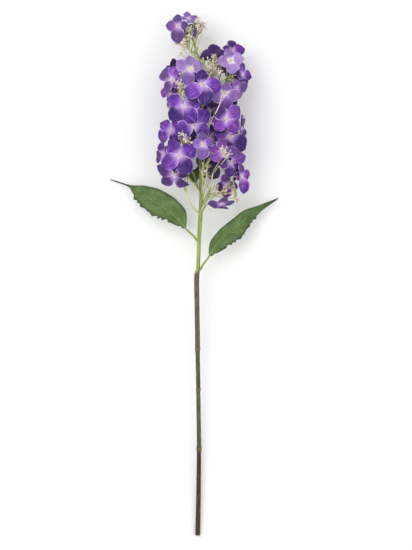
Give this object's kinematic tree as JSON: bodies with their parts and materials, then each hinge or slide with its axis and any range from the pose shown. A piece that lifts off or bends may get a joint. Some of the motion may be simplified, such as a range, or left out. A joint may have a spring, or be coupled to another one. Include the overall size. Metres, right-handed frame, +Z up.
{
  "type": "cut panicle hydrangea stem",
  "caption": "Cut hydrangea stem lying on its side, with a long woody stalk, two serrated leaves and a tall cone-shaped head of four-petalled violet florets on forked green branches.",
  "frame": {"origin": "on the surface that the stem lies on, under the middle of the whole stem's box", "axes": "+Y from the cut end towards the tip of the flower head; +Z up from the surface; +X to the right, seen from above with the head pointing away"},
  "size_m": [0.2484, 0.759, 0.1049],
  "materials": {
    "bark": "matte",
    "green_branch": "satin",
    "leaf_green": "satin",
    "violet_petal": "matte"
  },
  "bodies": {
    "root": {"branch_back_high": "green_branch", "branch_back_low": "green_branch", "branch_back_middle": "green_branch", "branch_left_high": "green_branch", "branch_left_low": "green_branch", "branch_left_middle": "green_branch", "branch_right_high": "green_branch", "branch_right_low": "green_branch", "branch_right_middle": "green_branch", "branch_top": "green_branch", "floret_arched": "violet_petal", "floret_back_1": "violet_petal", "floret_back_10": "violet_petal", "floret_back_11": "violet_petal", "floret_back_12": "violet_petal", "floret_back_13": "violet_petal", "floret_back_14": "violet_petal", "floret_back_15": "violet_petal", "floret_back_2": "violet_petal", "floret_back_3": "violet_petal", "floret_back_4": "violet_petal", "floret_back_5": "violet_petal", "floret_back_6": "violet_petal", "floret_back_7": "violet_petal", "floret_back_8": "violet_petal", "floret_back_9": "violet_petal", "floret_centre_pale": "violet_petal", "floret_cream_throat": "violet_petal", "floret_crown_blue": "violet_petal", "floret_crown_edge": "violet_petal", "floret_crown_left": "violet_petal", "floret_edge_low": "violet_petal", "floret_front_left": "violet_petal", "floret_front_low": "violet_petal", "floret_front_right": "violet_petal", "floret_front_top": "violet_petal", "floret_hanging": "violet_petal", "floret_left_edge": "violet_petal", "floret_left_low": "violet_petal", "floret_left_pointed": "violet_petal", "floret_left_small": "violet_petal", "floret_left_upper": "violet_petal", "floret_lowest": "violet_petal", "floret_middle_deep": "violet_petal", "floret_middle_left": "violet_petal", "floret_right_crown": "violet_petal", "floret_right_edge": "violet_petal", "floret_right_large": "violet_petal", "floret_right_lilac": "violet_petal", "floret_right_low": "violet_petal", "floret_right_small": "violet_petal", "floret_right_upper": "violet_petal", "floret_shaded": "violet_petal", "floret_tip": "violet_petal", "floret_turned_away": "violet_petal", "floret_upper_pale": "violet_petal", "leaf_left": "leaf_green", "leaf_right": "leaf_green", "leaf_small": "leaf_green", "main_stem": "bark"}
  },
  "joints": []
}
